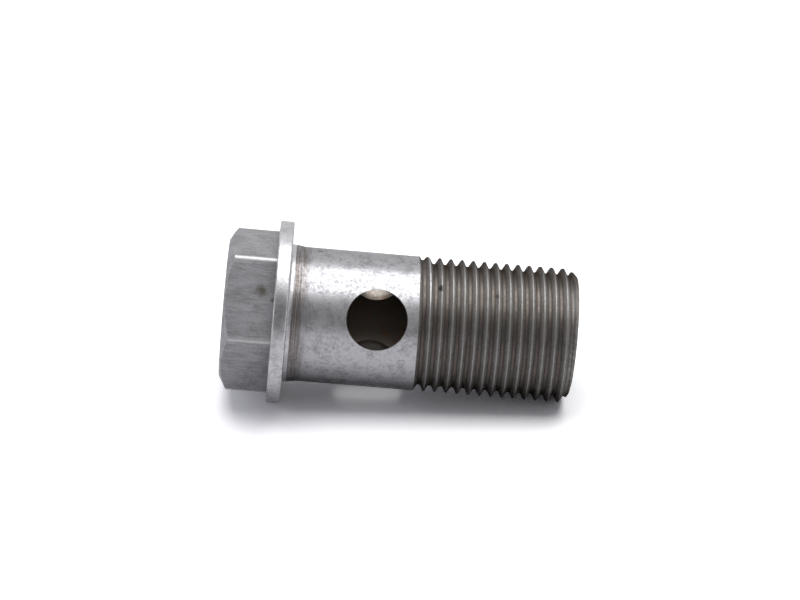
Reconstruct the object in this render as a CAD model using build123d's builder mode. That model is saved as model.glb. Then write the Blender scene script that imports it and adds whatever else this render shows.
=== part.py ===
from build123d import *
import math
import os

# Banjo bolt, M18 x 1.5, turned and drilled from one bar of steel. Sizes are in millimetres.
# It stands on its head: z = 0 is the head's end face, and the shank points along +Z.
# Angles are counted from +X towards +Y, and the first cross hole opens towards -Y.

# Hexagonal head
across_flats = 19.0
head_height = 6.5
hex_corner_radius = 0.4
hex_turn = -8.3
head_face_diameter = 18.2
head_chamfer_angle = 30.0

# Collar, whose upper face bears on the fitting
collar_diameter = 24.3
collar_thickness = 1.9
collar_edge_radius = 0.25

# Shank, of the thread's outside diameter along its whole length
shank_diameter = 17.9
shank_length = 38.0
end_chamfer = 0.9

# Land beside the collar, turned a little stouter than the ground shank
land_step = 0.2
land_length = 0.5
land_taper_length = 1.3

# Axial bore, drilled from the threaded end
bore_diameter = 13.5
bore_depth = 32.4
bore_mouth_chamfer = 0.4
drill_point_angle = 118.0

# Cross holes from the shank into the bore
cross_hole_diameter = 8.0
cross_hole_height = 11.65
cross_hole_count = 3
first_cross_hole_angle = -90.0

# Radii, and heights from the head's end face
head_face_radius = head_face_diameter / 2
collar_radius = collar_diameter / 2
shank_radius = shank_diameter / 2
land_radius = shank_radius + land_step
bore_radius = bore_diameter / 2
seat_height = head_height + collar_thickness
land_height = seat_height + land_length
land_end_height = land_height + land_taper_length
total_height = seat_height + shank_length
bore_end_height = total_height - bore_depth
drill_point_length = bore_radius / math.tan(math.radians(drill_point_angle / 2))
head_cone_height = math.tan(math.radians(head_chamfer_angle)) * (collar_radius - head_face_radius)


with BuildPart() as banjo_bolt:
    # Hexagon with rounded corners, coned at its end face
    with BuildSketch():
        RegularPolygon(across_flats / 2, 6, major_radius=False, rotation=hex_turn)
    extrude(amount=head_height)
    fillet(banjo_bolt.edges().filter_by(Axis.Z), hex_corner_radius)
    with BuildSketch(Plane.XZ):
        with BuildLine():
            Polyline(
                (head_face_radius, 0),
                (collar_radius, 0),
                (collar_radius, head_cone_height),
                close=True,
            )
        make_face()
    revolve(axis=Axis.Z, mode=Mode.SUBTRACT)

    # Collar, land and shank, turned as one profile
    with BuildSketch(Plane.XZ) as turned_profile:
        with BuildLine():
            Polyline(
                (0, head_height),
                (collar_radius, head_height),
                (collar_radius, seat_height),
                (land_radius, seat_height),
                (land_radius, land_height),
                (shank_radius, land_end_height),
                (shank_radius, total_height - end_chamfer),
                (shank_radius - end_chamfer, total_height),
                (0, total_height),
                close=True,
            )
        make_face()
        fillet(turned_profile.vertices().group_by(Axis.X)[-1], collar_edge_radius)
    revolve(axis=Axis.Z)

    # Axial bore with its drill point and a broken edge at the mouth
    with BuildSketch(Plane.XZ):
        with BuildLine():
            Polyline(
                (0, total_height),
                (bore_radius + bore_mouth_chamfer, total_height),
                (bore_radius, total_height - bore_mouth_chamfer),
                (bore_radius, bore_end_height),
                (0, bore_end_height - drill_point_length),
                close=True,
            )
        make_face()
    revolve(axis=Axis.Z, mode=Mode.SUBTRACT)

    # Cross holes from the shank's surface to the axis
    with PolarLocations(shank_radius, cross_hole_count, start_angle=first_cross_hole_angle):
        with Locations(Location((0, 0, seat_height + cross_hole_height), (0, 90, 0))):
            Hole(cross_hole_diameter / 2, depth=shank_radius)

banjo_bolt.part.label = "banjo_bolt"
os.makedirs("parts", exist_ok=True)
export_step(banjo_bolt.part, "parts/banjo_bolt.step")
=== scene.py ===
import bpy
import bmesh
import math
from mathutils import Matrix, Vector


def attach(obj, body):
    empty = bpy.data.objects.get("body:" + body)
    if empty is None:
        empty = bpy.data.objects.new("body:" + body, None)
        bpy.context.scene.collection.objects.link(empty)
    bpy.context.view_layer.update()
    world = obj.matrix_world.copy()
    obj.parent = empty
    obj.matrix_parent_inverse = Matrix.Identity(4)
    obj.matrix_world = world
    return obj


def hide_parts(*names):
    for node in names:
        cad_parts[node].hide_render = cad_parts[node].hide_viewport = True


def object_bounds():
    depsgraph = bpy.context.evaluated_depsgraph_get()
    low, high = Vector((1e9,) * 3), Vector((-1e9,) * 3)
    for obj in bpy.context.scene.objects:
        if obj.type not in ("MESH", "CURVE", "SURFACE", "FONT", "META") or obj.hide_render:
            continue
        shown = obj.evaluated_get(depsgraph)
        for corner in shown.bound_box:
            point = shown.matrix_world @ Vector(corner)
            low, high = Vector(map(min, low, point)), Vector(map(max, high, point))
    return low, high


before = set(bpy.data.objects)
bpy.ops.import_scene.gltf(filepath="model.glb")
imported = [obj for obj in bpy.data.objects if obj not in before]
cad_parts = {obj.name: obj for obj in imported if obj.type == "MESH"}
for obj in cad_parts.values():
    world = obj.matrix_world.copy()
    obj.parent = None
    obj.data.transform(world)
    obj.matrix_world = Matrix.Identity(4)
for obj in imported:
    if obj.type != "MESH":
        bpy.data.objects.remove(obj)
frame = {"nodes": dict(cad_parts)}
cadLow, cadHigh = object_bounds()
print("frame loaded:", ", ".join(frame["nodes"]))

mm = 0.001  # sizes below are in millimetres, angles in degrees
hair = 0.0005  # less than any real size, for points that lie on a line
smoothUnder = 34  # edges that turn less than this are shaded smooth


def clearSelection():
    if bpy.context.object and bpy.context.object.mode != "OBJECT":
        bpy.ops.object.mode_set(mode="OBJECT")
    bpy.ops.object.select_all(action="DESELECT")


def makeActive(piece):
    clearSelection()
    piece.select_set(True)
    bpy.context.view_layer.objects.active = piece


def nameActive(name):
    piece = bpy.context.object
    piece.name = name
    piece.data.name = name
    return piece


def applyModifier(piece, kind, **settings):
    makeActive(piece)
    modifier = piece.modifiers.new(kind.lower(), kind)
    for key, value in settings.items():
        setattr(modifier, key, value)
    bpy.ops.object.modifier_apply(modifier=modifier.name)


def booleanWith(piece, tool, operation):
    applyModifier(piece, "BOOLEAN", object=tool, operation=operation, solver="EXACT")
    bpy.data.objects.remove(tool)


def editMesh(piece, mode, action):
    # into edit mode, with everything selected or nothing
    makeActive(piece)
    bpy.ops.object.mode_set(mode="EDIT")
    bpy.ops.mesh.select_mode(type=mode)
    bpy.ops.mesh.select_all(action=action)


def mergeClose(piece):
    editMesh(piece, "VERT", "SELECT")
    bpy.ops.mesh.remove_doubles(threshold=hair * mm)
    bpy.ops.object.mode_set(mode="OBJECT")


def editOpenRim(piece, height):
    # into edit mode, with only the open rim at a height selected
    editMesh(piece, "EDGE", "DESELECT")
    mesh = bmesh.from_edit_mesh(piece.data)
    for edge in mesh.edges:
        level = all(abs(vert.co.z / mm - height) < hair for vert in edge.verts)
        edge.select_set(edge.is_boundary and level)
    bmesh.update_edit_mesh(piece.data)


def extrudeRing(piece, radius, height):
    # the selected ring is extruded, and the new one is set true to a radius at a height
    bpy.ops.mesh.extrude_region_move()
    mesh = bmesh.from_edit_mesh(piece.data)
    for vert in mesh.verts:
        if vert.select:
            around = vert.co.xy.normalized() * radius * mm
            vert.co = (around.x, around.y, height * mm)
    bmesh.update_edit_mesh(piece.data)


# the bolt's turned body: shank, land, collar, end and bore, within the solid's box
turned = {
    "steps": 168,  # segments round the bolt
    "shankRadius": 8.95,
    "shankRings": [23.2, 21.6, 20.05, 18.5, 16.9, 15.2, 13.0, 11.4, 10.2],  # heights
    "land": [(9.15, 8.9), (9.15, 8.55), (9.2, 8.43), (9.32, 8.4)],  # radius, height
    "seatRings": [(10.6, 8.4), (11.9, 8.4)],
    "collarRadius": round(cadHigh[0] / mm, 3),
    "collarFaces": (6.5, 8.4),
    "collarEdge": 0.25,
    "undersideRadius": 7.0,  # an edge inside the hexagon, where the underside is closed
    "totalHeight": round(cadHigh[2] / mm, 3),
    "endChamfer": 0.9,
    "boreRadius": 6.75,
    "boreMouth": 7.15,
    "boreRings": [46.0, 40.0, 34.0, 28.0, 24.6, 22.8, 20.05, 17.3, 15.5, 14.0],  # heights
    "drillTip": 9.944,  # height at which the sides of a 118 degree drill point would meet
    "drillRings": (0.6, 0.2),  # rings on the drill point, as shares of the bore's radius
}

# one continuous right-hand groove from the thread's end to its run-out
thread = {
    "pitch": 1.5,
    "depth": 0.84,
    "crestHeight": 26.89,  # one place on the crest, on the -Y side
    "crestAngle": -90,  # of that place, from which angles along the groove count on
    "crestMiddle": 0.001,  # share of a pitch that counts as the crest's middle line
    "fullFrom": -485,  # angle along the groove, past which it has its full depth
    "runout": 115,  # degrees over which it comes to that depth
    "plainBelow": 24.35,
    "spare": 1.3,  # pitches screwed below that and trimmed off
    "trimLimit": 0.0001,  # a corner this near a trimming plane lies on it
    "plainLimit": 0.005,  # a groove shallower than this doesn't show
    # half of one groove's section: distance from the crest's middle, depth
    "section": [
        (0.0, 0.0), (0.05, 0.001), (0.08, 0.012), (0.105, 0.045), (0.125, 0.08), (0.3, 0.383),
        (0.475, 0.686), (0.51, 0.74), (0.56, 0.79), (0.63, 0.825), (0.75, 0.84),
    ],
    "knockStretch": 1.6,  # how much wider round the bolt than along it
    # small knocks on the crests: angle, height, size, depth
    "knocks": [
        (-117, 27.6, 0.42, 0.16), (-110, 34.9, 0.34, 0.13), (-84, 27.3, 0.3, 0.12),
        (-62, 38.4, 0.26, 0.1), (-40, 31.0, 0.3, 0.12), (35, 36.2, 0.4, 0.14),
        (120, 29.9, 0.35, 0.14), (168, 41.0, 0.3, 0.12), (-150, 44.9, 0.3, 0.12),
    ],
}


def grooveAngle(angle, height):
    # how far along the groove a point lies, and its place between two crests
    turns = (height - thread["crestHeight"]) / thread["pitch"] - (angle - thread["crestAngle"]) / 360
    return angle + 360 * math.floor(turns), turns - math.floor(turns)


def shapeThread(piece):
    # the run-out at the groove's start, the end chamfer and the knocks
    radius = turned["shankRadius"]
    chamferFrom = turned["totalHeight"] - turned["endChamfer"]
    for vert in piece.data.vertices:
        co = vert.co / mm
        angle = math.degrees(math.atan2(co.y, co.x))
        here = math.hypot(co.x, co.y)
        # a hair under the crest's middle belongs to the same groove
        along, share = grooveAngle(angle, co.z + hair)
        if thread["crestMiddle"] < share < 1 - thread["crestMiddle"]:
            lift = (thread["fullFrom"] - along) / thread["runout"]
            here = min(radius, here + thread["depth"] * min(max(lift, 0), 1))
        here = min(here, radius - max(0, co.z - chamferFrom))
        for knockAngle, knockHeight, size, deep in thread["knocks"]:
            offAngle = (angle - knockAngle + 180) % 360 - 180
            offAround = math.radians(offAngle) * radius / thread["knockStretch"]
            off = math.hypot(offAround, co.z - knockHeight) / size
            if off < 1:
                here = min(here, radius - deep * (1 - off * off))
        vert.co.xy = co.xy.normalized() * here * mm


def screwThread():
    # one pitch of the section, drawn point by point up the bolt and screwed round it
    pitch = thread["pitch"]
    start = thread["plainBelow"] - thread["spare"] * pitch
    pitches = math.floor((thread["crestHeight"] - start) / pitch)
    foot = thread["crestHeight"] - (pitches + 1) * pitch
    half = thread["section"]
    points = half + [(pitch - z, deep) for z, deep in reversed(half[:-1])]
    bpy.ops.mesh.primitive_plane_add(size=1 * mm)
    body = nameActive("bolt")
    bpy.ops.object.mode_set(mode="EDIT")
    bpy.ops.mesh.merge(type="CENTER")
    bpy.ops.transform.translate(value=(0, -turned["shankRadius"] * mm, foot * mm))
    for before, after in zip(points, points[1:]):
        step = (0, (after[1] - before[1]) * mm, (after[0] - before[0]) * mm)
        bpy.ops.mesh.extrude_region_move(TRANSFORM_OT_translate={"value": step})
    bpy.ops.object.mode_set(mode="OBJECT")
    bpy.ops.object.transform_apply()
    turnCount = math.ceil((turned["totalHeight"] - foot) / pitch) + 1
    applyModifier(
        body, "SCREW", axis="Z", angle=math.tau, screw_offset=pitch * mm,
        iterations=turnCount, steps=turned["steps"], render_steps=turned["steps"],
        use_merge_vertices=False,
    )
    mergeClose(body)
    shapeThread(body)
    print("thread cut:", turnCount, "turns")
    return body


def trimThread(body):
    # level at both ends
    for height, outwards in ((turned["totalHeight"], 1), (thread["plainBelow"], -1)):
        editMesh(body, "VERT", "SELECT")
        bpy.ops.mesh.bisect(
            plane_co=(0, 0, height * mm), plane_no=(0, 0, outwards), clear_outer=True,
            threshold=thread["trimLimit"] * mm,
        )
        bpy.ops.object.mode_set(mode="OBJECT")


def turnBore(body):
    # end face, bore and drill point, which stays flat inside its last ring
    top, tip, bottom = turned["totalHeight"], turned["drillTip"], turned["boreRings"][-1]
    editOpenRim(body, top)
    extrudeRing(body, turned["boreMouth"], top)
    for height in turned["boreRings"]:
        extrudeRing(body, turned["boreRadius"], height)
    for share in turned["drillRings"]:
        extrudeRing(body, turned["boreRadius"] * share, tip + (bottom - tip) * share)
    bpy.ops.mesh.extrude_region_move()
    bpy.ops.mesh.merge(type="CENTER")


def turnShank(body):
    # plain shank, land, collar and its underside
    editOpenRim(body, thread["plainBelow"])
    for height in turned["shankRings"]:
        extrudeRing(body, turned["shankRadius"], height)
    for radius, height in turned["land"] + turned["seatRings"]:
        extrudeRing(body, radius, height)
    low, high = turned["collarFaces"]
    edge, rim = turned["collarEdge"], turned["collarRadius"]
    rims = ((high - edge, (67.5, 45, 22.5, 0)), (low + edge, (0, -22.5, -45, -67.5, -90)))
    for centre, bends in rims:
        for bend in bends:
            slope = math.radians(bend)
            extrudeRing(body, rim - edge + edge * math.cos(slope), centre + edge * math.sin(slope))
    extrudeRing(body, turned["undersideRadius"], low)
    bpy.ops.mesh.edge_face_add()
    bpy.ops.mesh.select_all(action="SELECT")
    bpy.ops.mesh.normals_make_consistent(inside=False)
    bpy.ops.object.mode_set(mode="OBJECT")
    print("turned body closed:", len(body.data.polygons), "faces")


# three holes through the wall, 120 degrees apart
crossHoles = {
    "radius": 4.0,
    "height": 20.05,
    "angles": (-90, 30, 150),
    "drillLength": 12,  # from the bolt's axis outwards
    "steps": 96,
}


def drillCrossHoles(body):
    length = crossHoles["drillLength"]
    for angle in crossHoles["angles"]:
        turn = math.radians(angle)
        middle = (length / 2 * math.cos(turn), length / 2 * math.sin(turn), crossHoles["height"])
        clearSelection()
        bpy.ops.mesh.primitive_cylinder_add(
            vertices=crossHoles["steps"], radius=crossHoles["radius"] * mm, depth=length * mm,
            location=Vector(middle) * mm, rotation=(0, math.radians(90), turn),
        )
        drill = nameActive("drill")
        bpy.ops.object.transform_apply()
        booleanWith(body, drill, "DIFFERENCE")
    print("cross holes drilled:", len(body.data.polygons), "faces")


# the head, with a turned chamfer round its outer face
hexagon = {
    "acrossFlats": 19.0,
    "height": 6.5,
    "turn": -8.3,  # where one corner points
    "cornerRound": 0.3,
    "cornerSteps": 5,
    "faceRadius": 9.1,
    "chamferAngle": 30,
    "chamferSteps": 240,
    "edgeRound": 0.07,
    "edgeSteps": 3,
    "edgeOver": 14,  # edges that turn more than this are rounded
    "intoCollar": 0.8,
}


def buildHexagon():
    # a new cylinder has a corner at 90 degrees, so it turns 30 more to bring one to 0
    tall = hexagon["height"] + hexagon["intoCollar"]
    clearSelection()
    bpy.ops.mesh.primitive_cylinder_add(
        vertices=6, radius=hexagon["acrossFlats"] / math.sqrt(3) * mm, depth=tall * mm,
        location=(0, 0, tall / 2 * mm), rotation=(0, 0, math.radians(hexagon["turn"] + 30)),
    )
    head = nameActive("head")
    bpy.ops.object.transform_apply()

    # only the six upright edges are rounded here
    editMesh(head, "EDGE", "DESELECT")
    mesh = bmesh.from_edit_mesh(head.data)
    for edge in mesh.edges:
        first, second = edge.verts
        edge.select_set(abs(first.co.z - second.co.z) > tall / 2 * mm)
    bmesh.update_edit_mesh(head.data)
    bpy.ops.mesh.bevel(offset=hexagon["cornerRound"] * mm, segments=hexagon["cornerSteps"])
    bpy.ops.object.mode_set(mode="OBJECT")

    # the turned chamfer is what a wide cone leaves of it
    spread = tall / math.tan(math.radians(hexagon["chamferAngle"]))
    clearSelection()
    bpy.ops.mesh.primitive_cone_add(
        vertices=hexagon["chamferSteps"], radius1=hexagon["faceRadius"] * mm,
        radius2=(hexagon["faceRadius"] + spread) * mm, depth=tall * mm, location=(0, 0, tall / 2 * mm),
    )
    cone = nameActive("cone")
    bpy.ops.object.transform_apply()
    booleanWith(head, cone, "INTERSECT")
    applyModifier(
        head, "BEVEL", width=hexagon["edgeRound"] * mm, segments=hexagon["edgeSteps"],
        limit_method="ANGLE", angle_limit=math.radians(hexagon["edgeOver"]),
    )
    print("hexagon cut:", len(head.data.polygons), "faces")
    return head


body = screwThread()
trimThread(body)
turnBore(body)
turnShank(body)
drillCrossHoles(body)
booleanWith(body, buildHexagon(), "UNION")
mergeClose(body)
bpy.ops.object.shade_smooth_by_angle(angle=math.radians(smoothUnder))
print("one closed piece:", len(body.data.polygons), "faces")


def newFinish(name):
    finish = bpy.data.materials.new(name)
    finish.use_nodes = True
    return finish, finish.node_tree


def plug(tree, node, inputs):
    # each input is set to a value, or linked when it is given a socket
    for key, value in inputs.items():
        if isinstance(value, bpy.types.NodeSocket):
            tree.links.new(value, node.inputs[key])
        else:
            node.inputs[key].default_value = value


def addNode(tree, kind, inputs=None, **settings):
    node = tree.nodes.new("ShaderNode" + kind)
    for key, value in settings.items():
        setattr(node, key, value)
    plug(tree, node, inputs or {})
    return node


def boltPlace(tree, scale=(1, 1, 1), shift=(0, 0, 0)):
    # object coordinates in millimetres, stretched by a scale and shifted
    place = addNode(tree, "TexCoord").outputs["Object"]
    inputs = {"Vector": place, "Location": shift, "Scale": [value / mm for value in scale]}
    return addNode(tree, "Mapping", inputs).outputs["Vector"]


def noiseOn(tree, place, scale, detail=3.0, rough=0.55):
    # between about 0.3 and 0.7 almost everywhere
    inputs = {"Vector": place, "Scale": scale, "Detail": detail, "Roughness": rough}
    return addNode(tree, "TexNoise", inputs).outputs["Fac"]


def ranged(tree, value, low, high, start=0.0, end=1.0):
    # a smooth step from start to end, while value goes from low to high
    inputs = {"Value": value, "From Min": low, "From Max": high, "To Min": start, "To Max": end}
    return addNode(tree, "MapRange", inputs, interpolation_type="SMOOTHSTEP").outputs["Result"]


def combine(tree, operation, first, second):
    return addNode(tree, "Math", {0: first, 1: second}, operation=operation).outputs[0]


def mixColour(tree, share, first, second):
    # sockets 6 and 7 are the two colours, and output 2 is the mixed one
    node = addNode(tree, "Mix", data_type="RGBA")
    plug(tree, node, {0: share, 6: first, 7: second})
    return node.outputs[2]


def radiusAndHeight(tree, place):
    xyz = addNode(tree, "SeparateXYZ", {0: place}).outputs
    flat = addNode(tree, "CombineXYZ", {"X": xyz["X"], "Y": xyz["Y"]}).outputs[0]
    return addNode(tree, "VectorMath", {0: flat}, operation="LENGTH").outputs["Value"], xyz["Z"]


quarterTurn = 0.25  # spreads a sheen along the bolt, across its turned lines


def roundBolt(tree):
    # the direction of lines that run round the bolt
    return addNode(tree, "Tangent", direction_type="RADIAL", axis="Z").outputs["Tangent"]


spotNoise = (1.6, 4)  # scale, detail
spotEdge = (0.75, 0.25)  # levels of that noise between which a spot comes in


def spotAt(tree, place, centre, size, ragged):
    # 1 inside a ragged spot round a point, 0 outside it
    away = addNode(tree, "VectorMath", {0: place, 1: centre}, operation="DISTANCE").outputs["Value"]
    edge = combine(tree, "MULTIPLY", noiseOn(tree, place, *spotNoise), ragged)
    outer, inner = (size + ragged * level for level in spotEdge)
    return ranged(tree, combine(tree, "ADD", away, edge), outer, inner)


def bumpBy(tree, height, distance, normal=None):
    inputs = {"Height": height, "Distance": distance * mm}
    if normal:
        inputs["Normal"] = normal
    return addNode(tree, "Bump", inputs).outputs["Normal"]


shankLook = {
    "steel": (0.43, 0.425, 0.445, 1),
    "dull": (0.27, 0.267, 0.28, 1),
    "stain": (0.135, 0.112, 0.1, 1),
    # each noise: scale, detail, roughness
    "grain": (2.3, 5, 0.65),
    "cloud": (0.6, 3, 0.6),
    "lines": (2.0, 4, 0.6),
    "lineStretch": (0.1, 0.1, 4.0),
    "lineShift": (5, 8, 3),
    "dullFrom": (0.86, 1.32),
    "stainFrom": (11.4, 9.7),  # heights over which the brown stain by the land comes in
    "stainLines": (0.3, 0.62, 0.3, 0.9),  # how the turned lines break it up
    "edgeTint": (0.7, 0.7, 0.7, 1),
    "groundRound": 0.8,  # how much the sheen spreads along the bolt
    "grainRange": (0.35, 0.65),
    "roughness": (0.37, 0.51),
    "grainBump": 0.012,
    "lineBump": 0.004,
    "speck": ((-8.4, -3.1, 12.1), 0.35, 0.6),  # place, size, raggedness
    "speckStrength": 0.7,
}


def shankFinish():
    # ground steel: a fine grain, faint turned lines and an oil stain in the corner by the collar
    finish, tree = newFinish("groundSteel")
    shader = tree.nodes["Principled BSDF"]
    place = boltPlace(tree)
    height = addNode(tree, "SeparateXYZ", {0: place}).outputs["Z"]
    grain = noiseOn(tree, place, *shankLook["grain"])
    cloud = noiseOn(tree, place, *shankLook["cloud"])
    linePlace = boltPlace(tree, shankLook["lineStretch"], shankLook["lineShift"])
    lines = noiseOn(tree, linePlace, *shankLook["lines"])
    dull = ranged(tree, combine(tree, "ADD", grain, cloud), *shankLook["dullFrom"])
    steel = mixColour(tree, dull, shankLook["steel"], shankLook["dull"])
    nearLand = ranged(tree, height, *shankLook["stainFrom"])
    stain = combine(tree, "MULTIPLY", nearLand, ranged(tree, lines, *shankLook["stainLines"]))
    speck = spotAt(tree, place, *shankLook["speck"])
    stain = combine(tree, "MAXIMUM", stain, combine(tree, "MULTIPLY", speck, shankLook["speckStrength"]))
    bump = bumpBy(tree, lines, shankLook["lineBump"], bumpBy(tree, grain, shankLook["grainBump"]))
    plug(tree, shader, {
        "Base Color": mixColour(tree, stain, steel, shankLook["stain"]),
        "Metallic": 1.0,
        "Specular Tint": shankLook["edgeTint"],
        "Anisotropic": shankLook["groundRound"],
        "Anisotropic Rotation": quarterTurn,
        "Tangent": roundBolt(tree),
        "Roughness": ranged(tree, grain, *shankLook["grainRange"], *shankLook["roughness"]),
        "Normal": bump,
    })
    return finish


threadLook = {
    "crest": (0.25, 0.243, 0.237, 1),
    "flank": (0.25, 0.238, 0.231, 1),
    "root": (0.145, 0.128, 0.117, 1),
    "oily": (0.18, 0.17, 0.154, 1),
    # each noise: scale, detail, roughness
    "grain": (2.4, 4, 0.6),
    "cloud": (0.42, 3),
    "cloudStretch": (1, 1, 0.5),
    "cloudShift": (4, 6, 9),
    "oilyFrom": (0.85, 1.25),
    "crestFrom": (8.86, 8.91),  # radii
    "crestRagged": 0.06,
    "rootFrom": (8.5, 8.15),
    "darkerFrom": (45.7, 45.5),  # the end chamfer, above this, has no darker roots
    "edgeTint": (0.2, 0.19, 0.18, 1),  # grimy, so it stays dark at a low angle
    "cutRound": 0.75,  # how much the sheen spreads along the bolt, into the grooves
    "grainRange": (0.3, 0.7),
    "roughness": (0.42, 0.62),
    "grainBump": 0.014,
    "nickColour": (0.06, 0.05, 0.045, 1),
    # place, size and raggedness of the dark nicks and of one pale fleck
    "nicks": [
        ((-4.94, -7.4, 27.9), 0.55, 0.9), ((-4.5, -7.67, 35.2), 0.5, 0.8), ((-3.6, -8.1, 35.3), 0.3, 0.6),
    ],
    "fleck": ((0.17, -8.9, 27.2), 0.35, 0.5),
}


def threadFinish():
    # crests rubbed bright, flanks dull with oily patches, and darker towards the roots
    finish, tree = newFinish("threadSteel")
    shader = tree.nodes["Principled BSDF"]
    place = boltPlace(tree)
    radius, height = radiusAndHeight(tree, place)
    grain = noiseOn(tree, place, *threadLook["grain"])
    cloudPlace = boltPlace(tree, threadLook["cloudStretch"], threadLook["cloudShift"])
    cloud = noiseOn(tree, cloudPlace, *threadLook["cloud"])
    oily = ranged(tree, combine(tree, "ADD", grain, cloud), *threadLook["oilyFrom"])
    flank = mixColour(tree, oily, threadLook["flank"], threadLook["oily"])
    ragged = combine(tree, "MULTIPLY", grain, threadLook["crestRagged"])
    crest = ranged(tree, combine(tree, "SUBTRACT", radius, ragged), *threadLook["crestFrom"])
    inGroove = ranged(tree, height, *threadLook["darkerFrom"])
    root = combine(tree, "MULTIPLY", ranged(tree, radius, *threadLook["rootFrom"]), inGroove)
    colour = mixColour(tree, root, flank, threadLook["root"])
    colour = mixColour(tree, crest, colour, threadLook["crest"])
    for nick in threadLook["nicks"]:
        colour = mixColour(tree, spotAt(tree, place, *nick), colour, threadLook["nickColour"])
    colour = mixColour(tree, spotAt(tree, place, *threadLook["fleck"]), colour, threadLook["flank"])
    plug(tree, shader, {
        "Base Color": colour,
        "Metallic": 1.0,
        "Specular Tint": threadLook["edgeTint"],
        "Anisotropic": threadLook["cutRound"],
        "Anisotropic Rotation": quarterTurn,
        "Tangent": roundBolt(tree),
        "Roughness": ranged(tree, grain, *threadLook["grainRange"], *threadLook["roughness"]),
        "Normal": bumpBy(tree, grain, threadLook["grainBump"]),
    })
    return finish


headLook = {
    "steel": (0.3, 0.295, 0.312, 1),
    "dull": (0.2, 0.197, 0.208, 1),
    "rubbed": (0.4, 0.395, 0.405, 1),
    "oil": (0.075, 0.072, 0.05, 1),
    # each noise: scale, detail, roughness
    "grain": (3.2, 5, 0.65),
    "streaks": (1.1, 4, 0.6),
    "streakStretch": (2.6, 2.6, 0.35),
    "streakShift": (7, 3, 5),
    "cloud": (0.45, 4),
    "dullFrom": (1.25, 1.8),
    "rubbedFrom": (10.72, 10.82),  # radii at which the corners are rubbed bright
    # painted shade below: the flats darken towards the collar
    "darkerFrom": 4.6,  # height from which the flats darken towards the collar
    "collarShadeStrength": 0.35,
    "metallic": 0.85,
    "grainRange": (0.3, 0.7),
    "roughness": (0.36, 0.5),
    "grainBump": 0.022,
    "streakBump": 0.02,
    # place, size, raggedness and strength of each spot: an oil spot and its core, then a small spot of
    # painted shade in the corner by the collar
    "oilSpotsAndShade": [
        ((-2.4, -9.2, 4.8), 0.85, 1.3, 0.45), ((-2.5, -9.2, 4.9), 0.42, 0.7, 0.75),
        ((-1.4, -9.4, 6.4), 0.3, 0.4, 0.75),
    ],
}


def headFinish():
    # drawn hexagon steel: matt and grainy, with faint streaks along it and rubbed corners, and painted
    # shade on the flats towards the collar
    finish, tree = newFinish("drawnSteel")
    shader = tree.nodes["Principled BSDF"]
    place = boltPlace(tree)
    radius, height = radiusAndHeight(tree, place)
    grain = noiseOn(tree, place, *headLook["grain"])
    streakPlace = boltPlace(tree, headLook["streakStretch"], headLook["streakShift"])
    streaks = noiseOn(tree, streakPlace, *headLook["streaks"])
    cloud = noiseOn(tree, place, *headLook["cloud"])
    patches = combine(tree, "ADD", combine(tree, "ADD", grain, streaks), cloud)
    # painted shade, darkening the flats towards the collar
    collarShade = ranged(tree, height, headLook["darkerFrom"], hexagon["height"], 0, headLook["collarShadeStrength"])
    dull = combine(tree, "ADD", ranged(tree, patches, *headLook["dullFrom"]), collarShade)
    colour = mixColour(tree, dull, headLook["steel"], headLook["dull"])
    # oil spots, and one spot of painted shade by the collar
    for centre, size, ragged, strength in headLook["oilSpotsAndShade"]:
        spot = combine(tree, "MULTIPLY", spotAt(tree, place, centre, size, ragged), strength)
        colour = mixColour(tree, spot, colour, headLook["oil"])
    rubbed = ranged(tree, radius, *headLook["rubbedFrom"])
    bump = bumpBy(tree, streaks, headLook["streakBump"], bumpBy(tree, grain, headLook["grainBump"]))
    plug(tree, shader, {
        "Base Color": mixColour(tree, rubbed, colour, headLook["rubbed"]),
        "Metallic": headLook["metallic"],
        "Roughness": ranged(tree, grain, *headLook["grainRange"], *headLook["roughness"]),
        "Normal": bump,
    })
    return finish


collarLook = {
    "steel": (0.47, 0.465, 0.48, 1),
    "dull": (0.35, 0.345, 0.36, 1),
    # each noise: scale, detail, roughness
    "lines": (9.0, 3, 0.6),
    "grain": (2.2, 4, 0.6),
    "cloud": (0.5, 3),
    "dullFrom": (0.85, 1.2),
    "grainRange": (0.3, 0.7),
    "roughness": (0.26, 0.4),
    "grainBump": 0.008,
    "lineBump": 0.008,
}


def collarFinish():
    # turned steel: lines round the rim and the flat faces
    finish, tree = newFinish("turnedSteel")
    shader = tree.nodes["Principled BSDF"]
    place = boltPlace(tree)
    radius, height = radiusAndHeight(tree, place)
    rings = addNode(tree, "CombineXYZ", {"X": radius, "Y": height}).outputs[0]
    lines = noiseOn(tree, rings, *collarLook["lines"])
    grain = noiseOn(tree, place, *collarLook["grain"])
    cloud = noiseOn(tree, place, *collarLook["cloud"])
    dull = ranged(tree, combine(tree, "ADD", grain, cloud), *collarLook["dullFrom"])
    bump = bumpBy(tree, lines, collarLook["lineBump"], bumpBy(tree, grain, collarLook["grainBump"]))
    plug(tree, shader, {
        "Base Color": mixColour(tree, dull, collarLook["steel"], collarLook["dull"]),
        "Metallic": 1.0,
        "Roughness": ranged(tree, grain, *collarLook["grainRange"], *collarLook["roughness"]),
        "Normal": bump,
    })
    return finish


boreLook = {
    "deep": (0.1, 0.085, 0.07, 1),
    "rust": (0.13, 0.075, 0.05, 1),
    "wall": (0.235, 0.213, 0.192, 1),
    # painted light: the bore's colour near its mouth
    "mouth": (0.27, 0.25, 0.23, 1),
    "mouthFrom": 34,  # height above which light is painted on the bore, stronger towards its mouth
    "wallFrom": (6.9, 7.6),  # radii, in a cross hole
    # each noise: scale, detail
    "rustNoise": (0.9, 4),
    "grain": (2.5, 4),
    "lines": (1.8, 3),
    "lineStretch": (0.2, 0.2, 4),
    "rustFrom": (0.5, 0.68),
    "metallic": 0.9,
    "grainRange": (0.3, 0.7),
    "roughness": (0.38, 0.55),
    "lineBump": 0.02,
}


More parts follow.
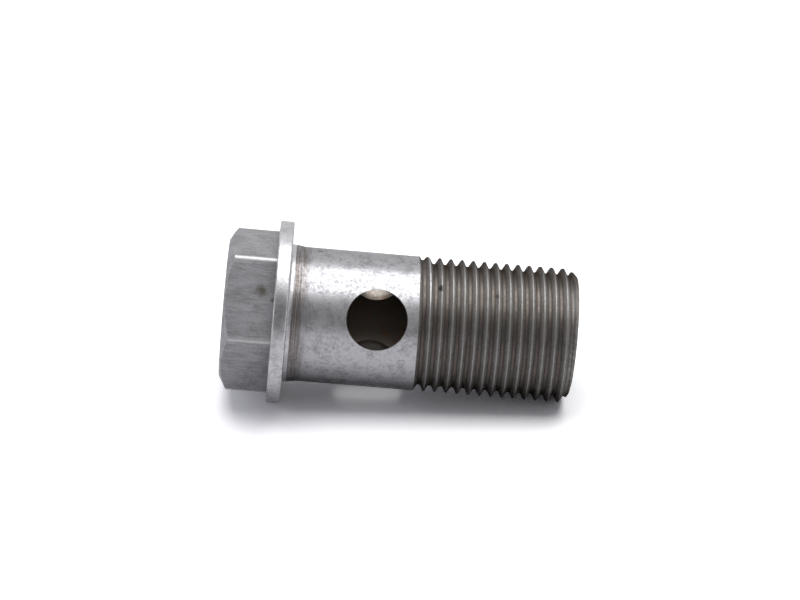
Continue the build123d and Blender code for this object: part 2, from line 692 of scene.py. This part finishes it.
def boreFinish():
    # drilled steel, dark with old oil, cleaner where a cross hole comes out, with painted light towards
    # the bore's mouth
    finish, tree = newFinish("drilledSteel")
    shader = tree.nodes["Principled BSDF"]
    place = boltPlace(tree)
    radius, height = radiusAndHeight(tree, place)
    rust = ranged(tree, noiseOn(tree, place, *boreLook["rustNoise"]), *boreLook["rustFrom"])
    colour = mixColour(tree, rust, boreLook["deep"], boreLook["rust"])
    # painted light, stronger towards the bore's mouth
    litNearMouth = ranged(tree, height, boreLook["mouthFrom"], turned["totalHeight"])
    colour = mixColour(tree, litNearMouth, colour, boreLook["mouth"])
    outer = ranged(tree, radius, *boreLook["wallFrom"])
    grain = noiseOn(tree, place, *boreLook["grain"])
    lines = noiseOn(tree, boltPlace(tree, boreLook["lineStretch"]), *boreLook["lines"])
    plug(tree, shader, {
        "Base Color": mixColour(tree, outer, colour, boreLook["wall"]),
        "Metallic": boreLook["metallic"],
        "Roughness": ranged(tree, grain, *boreLook["grainRange"], *boreLook["roughness"]),
        "Normal": bumpBy(tree, lines, boreLook["lineBump"]),
    })
    return finish


slack = 0.03  # a flat face's middle lies less than this inside the round form


def isPlain(body, face):
    # whether no part of the thread's groove reaches this face
    corners = (body.data.vertices[index].co / mm for index in face.vertices)
    return all(corner.xy.length > turned["shankRadius"] - thread["plainLimit"] for corner in corners)


def dressBody(body):
    for finish in (shankFinish(), threadFinish(), headFinish(), collarFinish(), boreFinish()):
        body.data.materials.append(finish)
    shank, threaded, head, collar, bore = range(5)
    for face in body.data.polygons:
        centre = face.center / mm
        radius = centre.xy.length
        byHole = abs(centre.z - crossHoles["height"]) < crossHoles["radius"] + slack
        inHole = byHole and radius < turned["shankRadius"] - slack
        inBore = radius < turned["boreRadius"] + slack and centre.z > turned["drillTip"]
        atMouth = radius < turned["boreMouth"] and centre.z > turned["boreRings"][0]
        if inHole or inBore:
            face.material_index = bore
        elif atMouth or centre.z > turned["totalHeight"] - hair:
            face.material_index = collar
        elif centre.z < hexagon["height"] - hair:
            face.material_index = head
        elif centre.z < turned["land"][0][1]:
            face.material_index = collar
        elif centre.z < thread["plainBelow"] or centre.z < thread["crestHeight"] and isPlain(body, face):
            face.material_index = shank
        else:
            face.material_index = threaded


dressBody(body)
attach(body, "root")
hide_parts("banjo_bolt")
print("finishes on:", ", ".join(finish.name for finish in body.data.materials))


# the bolt lies on its collar's rim and its thread's end, and the camera looks down on it a little
studio = {
    "elevation": 27,  # of the camera above the floor
    "lean": 0.0857,  # how much the bolt's axis falls towards its thread, per length
    "floorDrop": 12.8,  # from the middle of the head's face straight down to the floor
    "floorSize": 1000,
    "floorColour": (0.96, 0.96, 0.96, 1),
    "floorSeen": (1.45, 1.45, 1.45, 1),  # a background that is white up to the shadow
    "lampHeight": 1500,
    "lampAlong": 1500,
    "lampAcross": 1500,
    "lampTilt": 4,  # towards the thread's end, in degrees
    "lampBack": 3,  # away from the camera
    "lampPower": 23.5,
    "fill": (0.9, 0.9, 1, 1),
    "fillStrength": (0.18, 1.1),  # all round, and from the wall at the head's end
    "wallFrom": (0.3, 0.9),  # how nearly a direction points at that wall
    "darkAbove": 25,  # elevation of the dark side behind the camera
    "darkEdges": (40, 8),  # degrees from its middle, where it begins and where it is darkest
    "darkStrength": 0.2,
}

tilt = math.radians(studio["elevation"])
upwards = Vector((-math.cos(tilt), -math.sin(tilt), -studio["lean"])).normalized()
alongBolt = (Vector((0, 0, 1)) - upwards * upwards.z).normalized()
frontwards = alongBolt.cross(upwards)  # level, towards the camera


def buildFloor():
    clearSelection()
    bpy.ops.mesh.primitive_plane_add(
        size=studio["floorSize"] * mm, location=upwards * -studio["floorDrop"] * mm,
        rotation=upwards.to_track_quat("Z", "Y").to_euler(),
    )
    floor = nameActive("floor")
    finish, tree = newFinish("floorWhite")
    tree.nodes.clear()
    seen = addNode(tree, "LightPath").outputs["Is Camera Ray"]
    colour = mixColour(tree, seen, studio["floorColour"], studio["floorSeen"])
    white = addNode(tree, "BsdfDiffuse", {"Color": colour}).outputs[0]
    clear = addNode(tree, "BsdfTransparent").outputs[0]
    fromBelow = addNode(tree, "NewGeometry").outputs["Backfacing"]
    surface = addNode(tree, "MixShader", {0: fromBelow, 1: white, 2: clear}).outputs[0]
    addNode(tree, "OutputMaterial", {"Surface": surface})
    floor.data.materials.append(finish)


def buildLamp():
    clearSelection()
    side, back = (math.tan(math.radians(studio[key])) for key in ("lampTilt", "lampBack"))
    towards = upwards + alongBolt * side - frontwards * back
    across = towards.cross(alongBolt).normalized()
    turn = Matrix((across.cross(towards).normalized(), across, towards.normalized())).transposed()
    bpy.ops.object.light_add(
        type="AREA", location=towards * studio["lampHeight"] * mm, rotation=turn.to_euler(),
    )
    lamp = bpy.context.object
    lamp.name = "overheadLamp"
    lamp.data.shape = "RECTANGLE"
    lamp.data.size = studio["lampAlong"] * mm
    lamp.data.size_y = studio["lampAcross"] * mm
    lamp.data.energy = studio["lampPower"]


def alignment(tree, direction, towards):
    # 1 where a direction points this way, -1 where it points the other way
    inputs = {0: direction, 1: towards}
    return addNode(tree, "VectorMath", inputs, operation="DOT_PRODUCT").outputs["Value"]


def buildWorld():
    world = bpy.data.worlds.new("studioWorld")
    bpy.context.scene.world = world
    world.use_nodes = True
    tree = world.node_tree
    tree.nodes.clear()
    above = math.radians(studio["darkAbove"])
    darkTo = frontwards * math.cos(above) + upwards * math.sin(above)
    outer, inner = (math.cos(math.radians(edge)) for edge in studio["darkEdges"])
    direction = addNode(tree, "TexCoord").outputs["Generated"]
    dim = ranged(tree, alignment(tree, direction, darkTo), outer, inner, 1, studio["darkStrength"])
    # plain white for the camera, a dark side in the metal's sheen, and a low fill from all round
    seen = addNode(tree, "Background", {"Color": (1, 1, 1, 1), "Strength": 1}).outputs[0]
    mirrored = addNode(tree, "Background", {"Color": (1, 1, 1, 1), "Strength": dim}).outputs[0]
    atWall = alignment(tree, direction, -alongBolt)
    wall = ranged(tree, atWall, *studio["wallFrom"], *studio["fillStrength"])
    fill = addNode(tree, "Background", {"Color": studio["fill"], "Strength": wall}).outputs[0]
    rays = addNode(tree, "LightPath").outputs
    shine = combine(tree, "MAXIMUM", rays["Is Glossy Ray"], rays["Is Transmission Ray"])
    unseen = addNode(tree, "MixShader", {0: shine, 1: fill, 2: mirrored}).outputs[0]
    surface = addNode(tree, "MixShader", {0: rays["Is Camera Ray"], 1: unseen, 2: seen}).outputs[0]
    addNode(tree, "OutputWorld", {"Surface": surface})


camera = {
    "place": (0.0, -333.154, 8.751),
    "turn": (-117.4069, -84.6045, -152.194),
    "lens": 112.5,  # long, so that the bolt narrows little with distance
    "clipStart": 0.01,
}


def buildCamera():
    bpy.ops.object.camera_add(
        location=Vector(camera["place"]) * mm, rotation=[math.radians(value) for value in camera["turn"]],
    )
    viewer = bpy.context.object
    viewer.name = "viewCamera"
    viewer.data.lens = camera["lens"]
    viewer.data.clip_start = camera["clipStart"]
    bpy.context.scene.camera = viewer


buildFloor()
buildLamp()
buildWorld()
buildCamera()
bpy.context.scene.view_settings.view_transform = "Standard"
print("floor, lamp, world and camera set")
